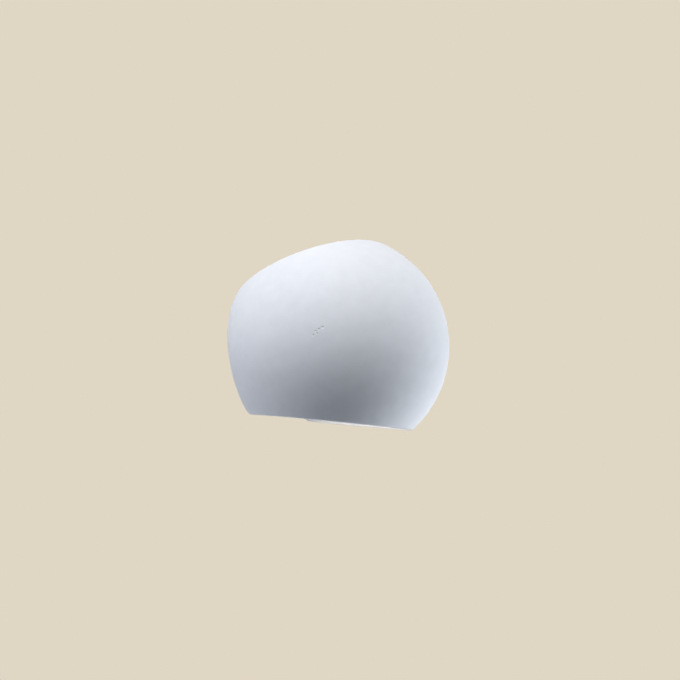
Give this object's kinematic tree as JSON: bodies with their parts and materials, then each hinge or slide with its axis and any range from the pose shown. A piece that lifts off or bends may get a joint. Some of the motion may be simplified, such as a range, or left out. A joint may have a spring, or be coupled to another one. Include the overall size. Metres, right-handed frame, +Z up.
{
  "type": "wall light",
  "caption": "Hollow ball-shaped cast shade, cut flat at the wall, top and bottom, that sends light up and down the wall from one capsule lamp on a hidden bracket.",
  "frame": {"origin": "on the wall's face, midway between the two wall slots of the bracket", "axes": "+Z up, +Y into the wall, so the room and the shade are on the -Y side; +X to the right as seen from the room"},
  "size_m": [0.18, 0.15, 0.149],
  "materials": {
    "cast_white": "matt white, unglazed, cast",
    "zinc_sheet": "zinc-plated sheet",
    "zinc_fastener": "zinc-plated",
    "knurled_steel": "turned and knurled",
    "black_plastic": "moulded black",
    "steatite": "pressed steatite, semi-matt",
    "spring_brass": "nickel-free brass, bright",
    "frosted_glass": "frosted",
    "lamp_white": "satin white",
    "pin_wire": "bright nickel wire",
    "chip_strip": "phosphor-coated strip",
    "block_plastic": "moulded natural nylon",
    "brown_insulation": "smooth insulation",
    "blue_insulation": "smooth insulation",
    "earth_insulation": "green insulation with a yellow stripe",
    "white_silicone": "braided glass and silicone sleeve",
    "tinned_copper": "tin-plated"
  },
  "bodies": {
    "wall_mount": {"wall_bracket": "zinc_sheet", "clinch_nuts": "zinc_fastener", "cable_bush": "black_plastic", "lampholder_bridge": "zinc_sheet", "bridge_screws": "zinc_fastener", "lampholder_body": "steatite", "lampholder_contacts": "spring_brass", "lampholder_screws": "zinc_fastener", "lampholder_nuts": "zinc_fastener", "terminal_block": "block_plastic", "terminal_tubes": "spring_brass", "terminal_screws": "zinc_fastener", "block_screws": "zinc_fastener", "live_lead": "brown_insulation", "neutral_lead": "blue_insulation", "earth_lead": "earth_insulation", "lead_sleeves": "white_silicone", "lead_ferrules": "tinned_copper", "earth_ring": "tinned_copper", "earth_washer": "zinc_fastener", "earth_screw": "zinc_fastener"},
    "shade": {"shade": "cast_white"},
    "thumbscrew_left": {"thumbscrew_left": "knurled_steel"},
    "thumbscrew_right": {"thumbscrew_right": "knurled_steel"},
    "lamp": {"lamp_globe": "frosted_glass", "lamp_base": "lamp_white", "lamp_pins": "pin_wire", "lamp_core": "chip_strip"}
  },
  "joints": [
    {"name": "shade_lift_off", "type": "slide", "parent": "wall_mount", "child": "shade", "axis": [0, -1, 0], "range_m": [0, 0.2]},
    {"name": "lamp_pull_out", "type": "slide", "parent": "wall_mount", "child": "lamp", "axis": [0, -1, 0], "range_m": [0, 0.025]},
    {"name": "thumbscrew_left_turn", "type": "hinge", "parent": "wall_mount", "child": "thumbscrew_left", "pos_m": [-0.0424, -0.02, 0], "axis": [-1, 0, 0], "continuous": true},
    {"name": "thumbscrew_right_turn", "type": "hinge", "parent": "wall_mount", "child": "thumbscrew_right", "pos_m": [0.0424, -0.02, 0], "axis": [1, 0, 0], "continuous": true}
  ]
}
